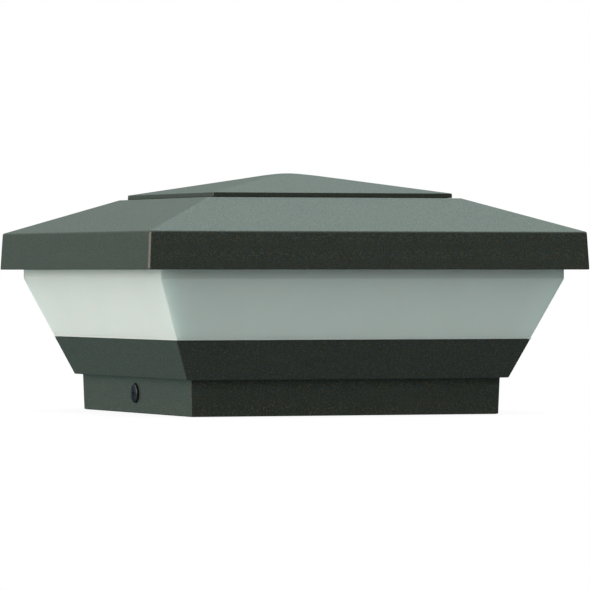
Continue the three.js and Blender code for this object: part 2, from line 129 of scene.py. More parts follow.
def roof_underside(half):
    """The height of the sloping roof's inner face."""
    return SKIRT_TOP_Z + (SKIRT_TOP_HALF - half) * ROOF_PITCH - ROOF_PLATE


def four_corners(at):
    return [(-at, -at), (at, -at), (at, at), (-at, at)]


def four_sides(at):
    return [(0, -at), (at, 0), (0, at), (-at, 0)]


# ---- profiles ----
FILLET_STEPS = 4
FILLET_SHARE = 0.45  # the most of an edge that one fillet may take


def rounded(profile, closed=False):
    """The profile as plain points, with an arc at each point that states a fillet radius."""
    points = []
    for i, (half, z, *fillet) in enumerate(profile):
        at = Vector((half, z))
        is_end = not closed and i in (0, len(profile) - 1)
        if not fillet or is_end:
            points.append((half, z))
            continue
        before = Vector(profile[i - 1][:2]) - at
        after = Vector(profile[(i + 1) % len(profile)][:2]) - at
        angle = before.angle(after)
        room = FILLET_SHARE * min(before.length, after.length)
        reach = min(fillet[0] / math.tan(angle / 2), room)
        middle = (before.normalized() + after.normalized()).normalized()
        centre = at + middle * reach / math.cos(angle / 2)
        start = at + before.normalized() * reach - centre
        end = at + after.normalized() * reach - centre
        side = math.copysign(1, start.x * end.y - start.y * end.x)
        for k in range(FILLET_STEPS + 1):
            turn = side * (math.pi - angle) * k / FILLET_STEPS
            cos, sin = math.cos(turn), math.sin(turn)
            across = centre.x + start.x * cos - start.y * sin
            up = centre.y + start.x * sin + start.y * cos
            points.append((across, up))
    return points


CORNER_STEPS = 7
QUARTERS = [(1, 1), (-1, 1), (-1, -1), (1, -1)]  # the signs of x and y at each corner, anticlockwise


def square_ring(half, z, corner):
    """A rounded square at height z, anticlockwise from above.

    A corner is a radius, or a radius and the width of a flat beside it."""
    radius, flat = corner if isinstance(corner, tuple) else (corner, 0)
    radius = min(radius, 0.999 * half - flat)  # so that no side shrinks to nothing
    ring = []
    for quarter, (x, y) in enumerate(QUARTERS):
        for k in range(CORNER_STEPS + 1):
            angle = (quarter + k / CORNER_STEPS) * math.pi / 2
            is_late = 2 * k > CORNER_STEPS
            turned_in = (is_late, not is_late) if quarter % 2 == 0 else (not is_late, is_late)
            across = x * (half - radius - flat * turned_in[0]) + radius * math.cos(angle)
            along = y * (half - radius - flat * turned_in[1]) + radius * math.sin(angle)
            ring.append((across, along, z))
    return ring


def round_ring(radius, z, sides):
    turns = [2 * math.pi * k / sides for k in range(sides)]
    return [(radius * math.cos(a), radius * math.sin(a), z) for a in turns]


def loft(rings, closed=False):
    """A skin over rings of equally many points. Its ends are capped, or joined if it is closed."""
    count = len(rings[0])
    vertices = [point for ring in rings for point in ring]
    faces = []
    for r in range(len(rings) if closed else len(rings) - 1):
        low, high = r * count, (r + 1) % len(rings) * count
        for i in range(count):
            j = (i + 1) % count
            faces.append((low + i, low + j, high + j, high + i))
    if not closed:
        last = (len(rings) - 1) * count
        faces.append(tuple(reversed(range(count))))
        faces.append(tuple(range(last, last + count)))
    return vertices, faces


ON_AXIS = 1e-6


def off_axis(points):
    """The points away from the axis. A flat cap stands for the ones on it."""
    return [(half, z) for half, z in points if half > ON_AXIS]


def swept(profile, corner, closed=False):
    """The profile swept round a square. corner gives the plan radius of the square's corners there."""
    points = off_axis(rounded(profile, closed))
    return loft([square_ring(half, z, corner(half, z)) for half, z in points], closed)


def turned(profile, sides=40, closed=False):
    """The profile turned round the axis."""
    points = off_axis(rounded(profile, closed))
    return loft([round_ring(radius, z, sides) for radius, z in points], closed)


def placed(shape, x=0, y=0, z=0, turn=None):
    """The shape turned by a matrix and then moved."""
    matrix = Matrix.Translation((x, y, z)) @ (turn or Matrix.Identity(4))
    return [tuple(matrix @ Vector(v)) for v in shape[0]], shape[1]


HEAD_DOWN = Matrix.Rotation(math.pi, 4, "X")


def hole(radius, z0, z1, chamfer=0.25):
    """A cutter for a round hole between two faces, with a chamfer at both."""
    over = 0.6  # how far the cutter stands out of each face
    wide = radius + chamfer + over
    return turned([
        (0, z0 - over), (wide, z0 - over), (radius, z0 + chamfer),
        (radius, z1 - chamfer), (wide, z1 + over), (0, z1 + over),
    ])


# ---- meshes ----
def new_mesh(name, shape):
    mesh = bpy.data.meshes.new(name)
    mesh.from_pydata([Vector(v) * MM for v in shape[0]], [], shape[1])
    mesh.update()
    return mesh


def new_object(name, mesh):
    made = bpy.data.objects.new(name, mesh)
    bpy.context.scene.collection.objects.link(made)
    return made


def evaluated_mesh(subject):
    bpy.context.view_layer.update()
    graph = bpy.context.evaluated_depsgraph_get()
    return bpy.data.meshes.new_from_object(subject.evaluated_get(graph))


def carved(name, body, add=(), cut=()):
    """The mesh of a body, with what is added to it and what is then cut away."""
    subject = new_object(name, new_mesh(name, body))
    tools = []
    for shapes, operation in ((add, "UNION"), (cut, "DIFFERENCE")):
        for shape in shapes:
            tool = new_object(f"{name}_tool", new_mesh("tool", shape))
            step = subject.modifiers.new(operation, "BOOLEAN")
            step.operation, step.object, step.solver = operation, tool, "EXACT"
            tools.append(tool)
    mesh = evaluated_mesh(subject)
    for used in [subject, *tools]:
        bpy.data.objects.remove(used)
    mesh.name = name
    return mesh


SHARP_ANGLE = math.radians(32)


def shade(subject):
    """Smooth shading that keeps flat faces flat and creases sharp."""
    subject.data.shade_smooth()
    subject.data.set_sharp_from_angle(angle=SHARP_ANGLE)
    weighted = subject.modifiers.new("normals", "WEIGHTED_NORMAL")
    weighted.keep_sharp = True


def piece(name, mesh, material, node, body="housing"):
    """A finished piece that stands for one CAD node and moves with its body."""
    made = new_object(name, mesh)
    if not mesh.materials:
        mesh.materials.append(material)
    shade(made)
    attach(made, body)
    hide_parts(node)
    return made


# ---- materials ----
class Shader:
    """A material in the making: one Principled surface and the nodes that feed it."""

    def __init__(self, name, **sockets):
        self.material = bpy.data.materials.new(name)
        self.material.use_nodes = True
        self.tree = self.material.node_tree
        self.surface = self.tree.nodes["Principled BSDF"]
        for socket, value in sockets.items():
            self.surface.inputs[socket.replace("_", " ")].default_value = value
        self.place = self.add("ShaderNodeTexCoord").outputs["Object"]

    def add(self, kind, inputs=(), **settings):
        """A node, with values or outputs of other nodes on the inputs given by name or number."""
        node = self.tree.nodes.new(kind)
        for setting, value in settings.items():
            setattr(node, setting, value)
        for socket, value in dict(inputs).items():
            if isinstance(value, bpy.types.NodeSocket):
                self.tree.links.new(value, node.inputs[socket])
            else:
                node.inputs[socket].default_value = value
        return node

    def noise(self, size_mm, detail=2.0, roughness=0.5, stretch=(1, 1, 1)):
        """Noise whose features are about size_mm across."""
        scaled = self.add("ShaderNodeMapping", {"Vector": self.place, "Scale": stretch})
        inputs = {"Vector": scaled.outputs[0], "Scale": 1 / (size_mm * MM), "Detail": detail,
                  "Roughness": roughness}
        return self.add("ShaderNodeTexNoise", inputs).outputs["Fac"]

    def remap(self, value, from_low, from_high, to_low=0.0, to_high=1.0):
        inputs = {"Value": value, 1: from_low, 2: from_high, 3: to_low, 4: to_high}
        return self.add("ShaderNodeMapRange", inputs).outputs["Result"]

    def blend(self, share, first, second):
        """A colour from first to second. Each is (r, g, b), or the output of a node."""
        inputs = {0: share}
        for socket, tint in ((6, first), (7, second)):
            inputs[socket] = tint if isinstance(tint, bpy.types.NodeSocket) else (*tint, 1)
        return self.add("ShaderNodeMix", inputs, data_type="RGBA").outputs[2]

    def total(self, first, second, weight):
        """first + second * weight"""
        inputs = {0: second, 1: weight, 2: first}
        return self.add("ShaderNodeMath", inputs, operation="MULTIPLY_ADD").outputs[0]

    def colour(self, output):
        self.tree.links.new(output, self.surface.inputs["Base Color"])

    def roughness(self, output):
        self.tree.links.new(output, self.surface.inputs["Roughness"])

    def bump(self, height, depth_mm, strength=1.0):
        inputs = {"Height": height, "Distance": depth_mm * MM, "Strength": strength}
        self.tree.links.new(self.add("ShaderNodeBump", inputs).outputs[0], self.surface.inputs["Normal"])


NOISE_SPAN = (0.3, 0.7)  # most of a noise lies between these
FLECK_SPAN = (0.58, 0.74)  # only the peaks of a noise come this high, so it becomes separate flecks


def away_from_corners(shader):
    """1 on a square's sides and 0 on its upright corners.

    The product of a normal's x and y is 0 on a side and half of one on the diagonal of a corner."""
    normal = shader.add("ShaderNodeNewGeometry").outputs["Normal"]
    facing = shader.add("ShaderNodeSeparateXYZ", {0: normal}).outputs
    across = shader.add("ShaderNodeMath", {0: facing["X"], 1: facing["Y"]}, operation="MULTIPLY").outputs[0]
    diagonal = shader.add("ShaderNodeMath", {0: across}, operation="ABSOLUTE").outputs[0]
    return shader.remap(diagonal, 0.2, 0.4, 1.0, 0.0)


def bronze_paint():
    """Dark bronze powder coat: a fine grain with brown and blue flecks, smooth on upright corners."""
    darker, lighter = (0.0225, 0.0205, 0.0145), (0.0265, 0.0245, 0.0165)
    blue, brown = (0.026, 0.044, 0.060), (0.086, 0.064, 0.037)
    corner_roughness, side_roughness = 0.17, (0.44, 0.6)
    corner_bump, side_bump = 0.05, 0.7
    paint = Shader("bronze_paint", IOR=1.46)
    grain = paint.noise(0.42, detail=1.5, roughness=0.6)
    ripple = paint.noise(2.6, detail=1)
    brown_flecks = paint.remap(paint.noise(0.26, detail=0), *FLECK_SPAN)
    blue_flecks = paint.remap(paint.noise(0.33, detail=0), *FLECK_SPAN)
    patches = paint.remap(paint.noise(9, detail=2), *NOISE_SPAN)
    tone = paint.blend(patches, darker, lighter)
    paint.colour(paint.blend(brown_flecks, paint.blend(blue_flecks, tone, blue), brown))
    side = away_from_corners(paint)
    matt = paint.remap(grain, *NOISE_SPAN, *side_roughness)
    paint.roughness(paint.add("ShaderNodeMix", {0: side, 2: corner_roughness, 3: matt}).outputs[0])
    paint.bump(paint.total(grain, ripple, 0.5), 0.035, paint.remap(side, 0, 1, corner_bump, side_bump))
    return paint.material


def frosted_lens():
    """Frosted polycarbonate: a matt skin over a body in which light spreads, red light least far."""
    lens = Shader("frosted_lens", Subsurface_Weight=0.55, Subsurface_Scale=MM, IOR=1.58)
    lens.surface.inputs["Subsurface Radius"].default_value = (6.0, 8.8, 8.4)
    patches = lens.remap(lens.noise(14, detail=2), *NOISE_SPAN)
    lens.colour(lens.blend(patches, (0.82, 0.83, 0.80), (0.84, 0.85, 0.82)))
    frost = lens.noise(0.22, detail=2, roughness=0.6)
    lens.roughness(lens.remap(frost, *NOISE_SPAN, 0.46, 0.6))
    lens.bump(frost, 0.008, 0.6)
    return lens.material


# Painted shade: the near-black colour that recesses are darkened to, and how far the occlusion that finds
# them reaches.
RECESS_SHADE = (0.012, 0.013, 0.012)
RECESS_SHADE_REACH_MM = 1.2


def metal(name, colour, worn, roughness, **sockets):
    """Plated or bare metal with fine grain, uneven handling marks and painted shade darkening its recesses.
    """
    plate = Shader(name, Metallic=1.0, **sockets)
    grain = plate.noise(0.5, detail=3, stretch=(1, 1, 5))
    marks = plate.noise(1.8, detail=3)
    tone = plate.blend(plate.remap(marks, 0.4, 0.65), colour, worn)
    # Painted shade: where ambient occlusion finds a recess, the colour is darkened towards the near-black.
    recess_occlusion = plate.add("ShaderNodeAmbientOcclusion", {"Distance": RECESS_SHADE_REACH_MM * MM})
    unshaded = plate.remap(recess_occlusion.outputs["AO"], 0.25, 0.75)
    plate.colour(plate.blend(unshaded, RECESS_SHADE, tone))
    plate.roughness(plate.remap(plate.total(grain, marks, 0.5), 0.5, 1.0, *roughness))
    plate.bump(grain, 0.004, 0.5)
    return plate.material


def moulded(name, colour, other, roughness, size_mm=0.35, depth_mm=0.01, patch_mm=6):
    """Moulded plastic or rubber with a fine spark-eroded texture."""
    mould = Shader(name)
    texture = mould.noise(size_mm, detail=2, roughness=0.6)
    mould.colour(mould.blend(mould.remap(mould.noise(patch_mm, detail=2), *NOISE_SPAN), colour, other))
    mould.roughness(mould.remap(texture, *NOISE_SPAN, *roughness))
    mould.bump(texture, depth_mm, 0.6)
    return mould.material


# Each metal or moulding has a colour, a second colour in patches and a lowest and highest roughness.
# A moulding may also give the size and the depth of its texture.
FINISHES = {
    "bronze_paint": bronze_paint(),
    "frosted_lens": frosted_lens(),
    "dark_steel": metal(
        "dark_steel", (0.055, 0.055, 0.062), (0.085, 0.085, 0.095), (0.42, 0.55),
        Specular_Tint=(0.35, 0.35, 0.4, 1)),
    "zinc_steel": metal(
        "zinc_steel", (0.55, 0.57, 0.60), (0.66, 0.66, 0.64), (0.22, 0.4)),
    "brass": metal(
        "brass", (0.52, 0.35, 0.11), (0.62, 0.45, 0.18), (0.2, 0.38)),
    "black_rubber": moulded(
        "black_rubber", (0.018, 0.018, 0.02), (0.03, 0.03, 0.031), (0.7, 0.9)),
    "grey_pad": moulded(
        "grey_pad", (0.27, 0.29, 0.31), (0.33, 0.345, 0.36), (0.8, 0.95), 0.7, 0.02),
    "board_white": moulded(
        "board_white", (0.81, 0.82, 0.79), (0.86, 0.86, 0.83), (0.35, 0.5), 0.6, 0.004),
    "board_green": moulded(
        "board_green", (0.015, 0.10, 0.04), (0.025, 0.15, 0.06), (0.35, 0.5), 0.9, 0.01),
    "led_yellow": moulded(
        "led_yellow", (0.80, 0.62, 0.10), (0.86, 0.72, 0.2), (0.3, 0.4), 0.1, 0.002, patch_mm=0.5),
    "reflector_white": moulded(
        "reflector_white", (0.86, 0.86, 0.84), (0.9, 0.9, 0.88), (0.24, 0.36), 0.5, 0.004),
    "case_black": moulded(
        "case_black", (0.012, 0.013, 0.015), (0.024, 0.025, 0.027), (0.45, 0.65), 0.4, 0.015),
    "resin_black": moulded(
        "resin_black", (0.008, 0.008, 0.01), (0.014, 0.014, 0.016), (0.08, 0.2), 5, 0.12),
    "terminal_grey": moulded(
        "terminal_grey", (0.54, 0.56, 0.56), (0.61, 0.63, 0.62), (0.4, 0.55), 0.3, 0.008),
    "wire_red": moulded(
        "wire_red", (0.38, 0.018, 0.013), (0.46, 0.028, 0.02), (0.3, 0.42), 0.5, 0.005),
    "wire_black": moulded(
        "wire_black", (0.009, 0.009, 0.009), (0.016, 0.016, 0.016), (0.3, 0.42), 0.5, 0.005),
}


# ---- castings and lens ----
def roof_casting():
    """The roof and its skirt, with a rib and a land inside for the lens, and four pillars."""
    rib = {"inner": 58.5, "outer": 60.3, "bottom": 47.5}
    land = {"outer": 64.2, "z": LENS_TOP_Z + 1.9}
    groove = {"inner": 34.9, "outer": 36.7, "bottom": 63.1}
    skirt_inner = SKIRT_TOP_HALF - ROOF_WALL
    deck_underside_half = SKIRT_TOP_HALF - (DECK_BOTTOM_Z + ROOF_PLATE - SKIRT_TOP_Z) / ROOF_PITCH
    profile = [
        (0, DECK_BOTTOM_Z),
        (deck_underside_half, DECK_BOTTOM_Z, 1.5),
        (rib["inner"], roof_underside(rib["inner"]), 0.9),
        (rib["inner"], rib["bottom"], 0.5),
        (rib["outer"], rib["bottom"], 0.5),
        (rib["outer"], land["z"], 0.4),
        (land["outer"], land["z"], 0.3),
        (land["outer"], roof_underside(land["outer"]), 0.3),
        (skirt_inner, roof_underside(skirt_inner), 0.8),
        (EAVE_HALF - ROOF_WALL, EAVE_Z, 0.35),
        (EAVE_HALF, EAVE_Z, 0.3),
        (SKIRT_TOP_HALF, SKIRT_TOP_Z, 0.75),
        (DECK_TOP_HALF, DECK_TOP_Z, 0.35),
        (groove["outer"], DECK_TOP_Z, 0.15),
        (groove["outer"], groove["bottom"], 0.15),
        (groove["inner"], groove["bottom"], 0.15),
        (groove["inner"], DECK_TOP_Z, 0.15),
        (0, DECK_TOP_Z),
    ]

    def corner(half, z):
        if half > SKIRT_TOP_HALF - 0.2 and z < SKIRT_TOP_Z - 0.2:
            return SKIRT_CORNER
        return OUTER_CORNER if z > roof_underside(half) + ROOF_PLATE / 2 else INNER_CORNER

    body = swept(profile, corner)
    foot_z, root_z = WEB_TOP_Z + 0.1, DECK_BOTTOM_Z + 0.5
    pillar = turned([
        (0, foot_z), (PILLAR_R, foot_z, 0.35), (PILLAR_R + 0.15, 46),
        (PILLAR_R + 0.4, DECK_BOTTOM_Z - 1.4, 1.2), (PILLAR_R + 1.6, root_z), (0, root_z),
    ])
    tap_r, tap_top_z = 1.7, 35
    pillar_tap = turned([
        (0, WEB_TOP_Z - 1), (tap_r + 0.9, WEB_TOP_Z - 1), (tap_r, WEB_TOP_Z + 0.5),
        (tap_r, tap_top_z), (0, tap_top_z + 1),
    ])
    deck_hole = hole(1.5, DECK_BOTTOM_Z, DECK_TOP_Z)
    return carved(
        "roof_casting_fine", body,
        add=[placed(pillar, x, y) for x, y in four_corners(PILLAR_AT)],
        cut=[placed(pillar_tap, x, y) for x, y in four_corners(PILLAR_AT)]
        + [placed(deck_hole, x, y) for x, y in four_sides(LED_RING) + four_corners(PEAK_SCREW_AT)],
    )


def peak_plate():
    """A shallow pyramid, rounded over at its tip and hollow below."""
    thick = 2.1
    seat = PEAK_SEAT_Z
    apex = PEAK_EDGE_Z + PEAK_HALF * PEAK_PITCH
    inner_half = PEAK_HALF - (seat + thick - PEAK_EDGE_Z) / PEAK_PITCH
    lean = math.atan(PEAK_PITCH)
    tip_z = apex - PEAK_TIP_R * (1 / math.cos(lean) - 1) + PEAK_TIP_LIFT
    slope_ends, blend_middle, tip_steps = 14, 10, 9
    tip = []
    for k in range(tip_steps, 0, -1):
        angle = lean * k / tip_steps
        tip.append((PEAK_TIP_R * math.sin(angle), tip_z - PEAK_TIP_R * (1 - math.cos(angle))))
    profile = [
        (0, apex - thick),
        (0.6, apex - thick - 0.6 * PEAK_PITCH),
        (inner_half, seat, 0.3),
        (PEAK_HALF, seat, 0.15),
        (PEAK_HALF - 0.06, PEAK_EDGE_Z, 0.18),
        (slope_ends, apex - slope_ends * PEAK_PITCH),
        (blend_middle, apex - blend_middle * PEAK_PITCH + 0.3 * PEAK_TIP_LIFT),
        *tip,
        (0.25, tip_z),
    ]
    ridges_fade_from = 12  # inside this half width the ridges widen until the tip is round

    def corner(half, z):
        return max(OUTER_CORNER, min(half, (ridges_fade_from - half) * 0.75))

    body = swept(profile, corner)
    boss_top, tap_r = seat + 4.2, 1.5
    boss = turned([(0, seat), (3, seat, 0.2), (3.1, boss_top - 1, 0.3), (4, boss_top), (0, boss_top)])
    tap = turned([
        (0, seat - 1), (tap_r + 0.9, seat - 1), (tap_r, seat + 0.3), (tap_r, seat + 3.9), (0, seat + 4),
    ])
    return carved(
        "peak_plate_fine", body,
        add=[placed(boss, x, y) for x, y in four_corners(PEAK_SCREW_AT)],
        cut=[placed(tap, x, y) for x, y in four_corners(PEAK_SCREW_AT)],
    )


def lens_shell():
    """A band that widens upwards to an upright rim, on a foot that stands in the base's groove."""
    bottom = FLARE_TOP_Z + 0.05
    foot = {"inner": 49.5, "top": 23.6, "bottom": LENS_LOW.z, "clear": FLARE_LIP + 0.2}
    rim_wall = 2.26
    rim_inner = lean_half(LENS_BEND_Z) - rim_wall
    bead, bead_top = 0.28, 0.45  # how far the bead at the foot stands out, and its height
    profile = [
        (foot["inner"], foot["bottom"], 0.25),
        (lean_half(foot["bottom"]) - foot["clear"], foot["bottom"], 0.25),
        (lean_half(bottom) - foot["clear"], bottom, 0.1),
        (lean_half(bottom) + bead, bottom, 0.05),
        (lean_half(bottom) + bead, bottom + 0.1, 0.05),
        (lean_half(bottom + bead_top), bottom + bead_top, 0.05),
        (lean_half(LENS_BEND_Z), LENS_BEND_Z, 1.2),
        (lean_half(LENS_BEND_Z), LENS_TOP_Z, 0.3),
        (rim_inner, LENS_TOP_Z, 0.3),
        (rim_inner, LENS_BEND_Z + 0.4, 1.5),
        (lean_half(foot["top"]) - LENS_WALL, foot["top"], 0.8),
        (foot["inner"] + 2.1, foot["top"], 0.5),
    ]

    def corner(half, z):
        outside = half > lean_half(min(z, LENS_BEND_Z)) - 0.5 * LENS_WALL
        return LENS_CORNER if outside else LENS_INSIDE_CORNER

    return new_mesh("lens_fine", swept(profile, corner, closed=True))


def outward(side):
    """Turns +Z to face out of the collar's left (-1) or right (1) side."""
    return Matrix.Rotation(side * math.pi / 2, 4, "Y")


def fixing_hole(side):
    """A clearance hole through the collar, and a flared recess round the screw's head."""
    collar_half = COLLAR_BOTTOM_HALF + (COLLAR_TOP_HALF - COLLAR_BOTTOM_HALF) * FIXING_Z / COLLAR_TOP_Z
    seat = collar_half - FIXING_RECESS
    start, recess_r = SOCKET_TOP_HALF - 1, FIXING_HEAD_R + 0.2
    cutter = turned([
        (0, start), (FIXING_HOLE_R, start), (FIXING_HOLE_R, seat), (recess_r, seat, 0.1),
        (recess_r, seat + 0.45), (recess_r + 1, seat + 1.45), (0, seat + 1.45),
    ])
    return placed(cutter, 0, 0, FIXING_Z, outward(side))


def base_casting():
    """The collar and the flare, with a web across them that closes the post socket, and posts on it."""
    profile = [
        (0, WEB_BOTTOM_Z),
        (SOCKET_TOP_HALF, WEB_BOTTOM_Z, 0.8),
        (SOCKET_MOUTH_HALF, 0, 0.3),
        (COLLAR_BOTTOM_HALF, 0, 0.3),
        (COLLAR_TOP_HALF, COLLAR_TOP_Z, 0.3),
        (FLARE_BOTTOM_HALF + FLARE_PROUD, COLLAR_TOP_Z, 0.35),
        (lean_half(FLARE_TOP_Z) + FLARE_PROUD, FLARE_TOP_Z, 0.08),
        (lean_half(FLARE_TOP_Z) - FLARE_LIP, FLARE_TOP_Z, 0.25),
        (lean_half(GROOVE_Z) - FLARE_LIP, GROOVE_Z, 0.3),
        (GROOVE_HALF, GROOVE_Z, 0.3),
        (GROOVE_HALF, WEB_TOP_Z, 0.3),
        (0, WEB_TOP_Z),
    ]

    def corner(half, z):
        flare = z > COLLAR_TOP_Z - 0.5 and half > lean_half(z) - 0.5 * FLARE_LIP
        collar = z < COLLAR_TOP_Z + 1 and half > COLLAR_BOTTOM_HALF - 0.4
        return FLARE_CORNER if flare or collar else INNER_CORNER

    body = swept(profile, corner)
    root_z, below, above = WEB_TOP_Z - 0.5, WEB_BOTTOM_Z - 1, WEB_TOP_Z + 1
    reflector_post_z, driver_post_z = BASE_HIGH.z, WEB_TOP_Z + 2
    reflector_post = turned([
        (0, root_z), (4.2, root_z), (3.2, WEB_TOP_Z + 0.9, 0.8),
        (3, reflector_post_z, 0.25), (0, reflector_post_z),
    ])
    driver_post = turned([
        (0, root_z), (3.6, root_z), (3, WEB_TOP_Z + 0.6, 0.3), (3, driver_post_z, 0.25), (0, driver_post_z),
    ])
    grommet_r, grommet_z = 7.05, WEB_BOTTOM_Z + GROMMET_RECESS
    grommet_seat = turned([
        (0, below), (grommet_r + 1.25, below), (grommet_r, WEB_BOTTOM_Z + 0.25),
        (grommet_r, grommet_z, 0.2), (5, grommet_z), (5, WEB_TOP_Z - 0.2), (6.2, above), (0, above),
    ])
    screw_r = 1.75
    countersink = turned([
        (0, below), (4.4, below), (3.65, WEB_BOTTOM_Z + 0.1), (screw_r, WEB_BOTTOM_Z + 2), (screw_r, above),
        (0, above),
    ])
    tap_r, mouth_r = 1.25, 2.2
    reflector_tap = turned([
        (0, 26), (tap_r, 26.6), (tap_r, reflector_post_z - 0.3), (mouth_r, reflector_post_z + 0.7),
        (0, reflector_post_z + 2),
    ])
    driver_tap = turned([
        (0, WEB_BOTTOM_Z + 1), (tap_r, WEB_BOTTOM_Z + 1.4), (tap_r, driver_post_z - 0.3),
        (mouth_r, driver_post_z + 0.7), (0, driver_post_z + 2),
    ])
    return carved(
        "base_casting_fine", body,
        add=[placed(reflector_post, x, y) for x, y in REFLECTOR_SCREWS]
        + [placed(driver_post, x, y) for x, y in DRIVER_SCREWS],
        cut=[placed(grommet_seat, 0, GROMMET_Y)]
        + [placed(countersink, x, y) for x, y in four_corners(PILLAR_AT)]
        + [placed(reflector_tap, x, y) for x, y in REFLECTOR_SCREWS]
        + [placed(driver_tap, x, y) for x, y in DRIVER_SCREWS]
        + [fixing_hole(side) for side in (-1, 1)],
    )


PAINT = FINISHES["bronze_paint"]
piece("roof_casting_fine", roof_casting(), PAINT, "roof_casting")
piece("peak_plate_fine", peak_plate(), PAINT, "peak_plate")
piece("base_casting_fine", base_casting(), PAINT, "base_casting")
piece("lens_fine", lens_shell(), FINISHES["frosted_lens"], "lens")


# ---- screws: head up, with z = 0 at the head's seat, or at the top of a flat head ----
THREAD_SIDES = 28
ROWS_PER_TURN = 6
FADE_TURNS = 0.8
CREST_GAIN = 1.35  # more than 1 leaves a flat on the crest


def thread_rings(radius, depth, pitch, low, high):
    """Rings of a thread from low to high, which rises out of the plain shank over its end turns."""
    rows = max(2, round((high - low) / pitch * ROWS_PER_TURN))
    rings = []
    for row in range(rows + 1):
        z = low + (high - low) * row / rows
        ring = []
        for k in range(THREAD_SIDES):
            angle = 2 * math.pi * k / THREAD_SIDES
            phase = (z / pitch - k / THREAD_SIDES) % 1
            crest = min(1, CREST_GAIN * (1 - abs(2 * phase - 1)))
            fade = min(1, (z - low) / (FADE_TURNS * pitch), (high - z) / (FADE_TURNS * pitch))
            r = radius - depth * (1 - crest * max(fade, 0))
            ring.append((r * math.cos(angle), r * math.sin(angle), z))
        rings.append(ring)
    return rings


def cross_cutter(size, top, depth):
    """A tapered cross-shaped recess, whose floor falls to a point at its middle."""
    levels = ((top + 0.5, 1.12), (top, 1.0), (top - 0.5 * depth, 0.75), (top - depth, 0.02))
    rings = []
    for z, share in levels:
        arm = size / 2 * share
        web = min(size / 7 * (0.6 + 0.4 * share), 0.6 * arm)  # half of an arm's width
        quarter = [(arm, -web), (arm, web), (web * 1.15, web * 1.15)]
        ring = []
        for turn in range(4):
            for x, y in quarter:
                for _ in range(turn):
                    x, y = -y, x
                ring.append((x, y, z))
        rings.append(ring)
    return loft(list(reversed(rings)))


def screw_mesh(name, head, top, shank_r, length, pitch, recess, recess_depth):
    """A screw whose head is a rounded profile from the shank out, up and back to the axis."""
    depth = 0.16 * pitch + 0.06
    tip = [(shank_r * 0.42, -length), (shank_r - depth, -length + 0.6)]
    thread_end = head[0][1] - 0.1
    rings = [round_ring(r, z, THREAD_SIDES) for r, z in tip]
    rings += thread_rings(shank_r, depth, pitch, -length + 0.65, thread_end)
    rings += [round_ring(r, z, THREAD_SIDES) for r, z in off_axis(rounded(head))]
    return carved(name, loft(rings), cut=[cross_cutter(recess, top, recess_depth)])


def pan_screw(name, head_r, head_h, shank_r, length, pitch):
    """A screw with a domed head."""
    head = [
        (shank_r, -0.05), (shank_r + 0.1, 0, 0.1), (head_r, 0, 0.12),
        (head_r, head_h * 0.5, head_r * 0.22), (head_r * 0.72, head_h * 0.95, head_r * 0.5),
        (0.3, head_h),
    ]
    return screw_mesh(name, head, head_h, shank_r, length, pitch, head_r * 0.92, head_h * 0.75)


def flat_screw(name, head_r, head_h, shank_r, length, pitch):
    """A screw with a countersunk head, whose flat top is at z = 0."""
    head = [(shank_r, -head_h), (head_r, -0.18, 0.08), (head_r, 0, 0.08), (0.3, 0)]
    return screw_mesh(name, head, 0, shank_r, length, pitch, head_r, head_h * 0.75)


def disc_screw(name, head_r, head_h, shank_r, length, pitch):
    """A screw with a thin upright head, almost flat on top, and a small deep recess."""
    recess_depth = 1.9
    head = [
        (shank_r, -0.05), (shank_r + 0.1, 0, 0.1), (head_r, 0, 0.1), (head_r, head_h - 0.2, 0.12),
        (head_r * 0.88, head_h - 0.04, 0.4), (0.3, head_h),
    ]
    return screw_mesh(name, head, head_h, shank_r, length, pitch, head_r * 0.6, recess_depth)


def screw_copies(node, mesh, places, z, down):
    """One screw at each place. z is the height of the mesh's own zero, and down puts its head below."""
    for i, (x, y) in enumerate(places, 1):
        made = piece(f"{node}_{i}_fine", mesh, FINISHES["zinc_steel"], f"{node}_{i}")
        turn = HEAD_DOWN if down else Matrix()
        made.matrix_basis = Matrix.Translation(Vector((x, y, z)) * MM) @ turn


screw_copies(
    "assembly_screw",
    flat_screw("assembly_screw", head_r=3.3, head_h=1.75, shank_r=1.5, length=15, pitch=0.7),
    four_corners(PILLAR_AT), WEB_BOTTOM_Z + 0.05, down=True)
screw_copies(
    "peak_screw",
    pan_screw("peak_screw", head_r=2.8, head_h=1.6, shank_r=1.3, length=6, pitch=0.5),
    four_corners(PEAK_SCREW_AT), DECK_BOTTOM_Z - 0.1, down=True)
screw_copies(
    "board_screw",
    pan_screw("board_screw", head_r=2.8, head_h=1.6, shank_r=1.3, length=4.2, pitch=0.5),
    four_sides(LED_RING), BOARD_LOW.z - 0.1, down=True)
screw_copies(
    "reflector_screw",
    pan_screw("reflector_screw", head_r=2.6, head_h=1.5, shank_r=1.1, length=8, pitch=0.45),
    REFLECTOR_SCREWS, REFLECTOR_TOP_Z + 0.1, down=False)
screw_copies(
    "driver_screw",
    pan_screw("driver_screw", head_r=2.6, head_h=1.5, shank_r=1.1, length=4.6, pitch=0.45),
    DRIVER_SCREWS, WEB_TOP_Z + 4, down=False)

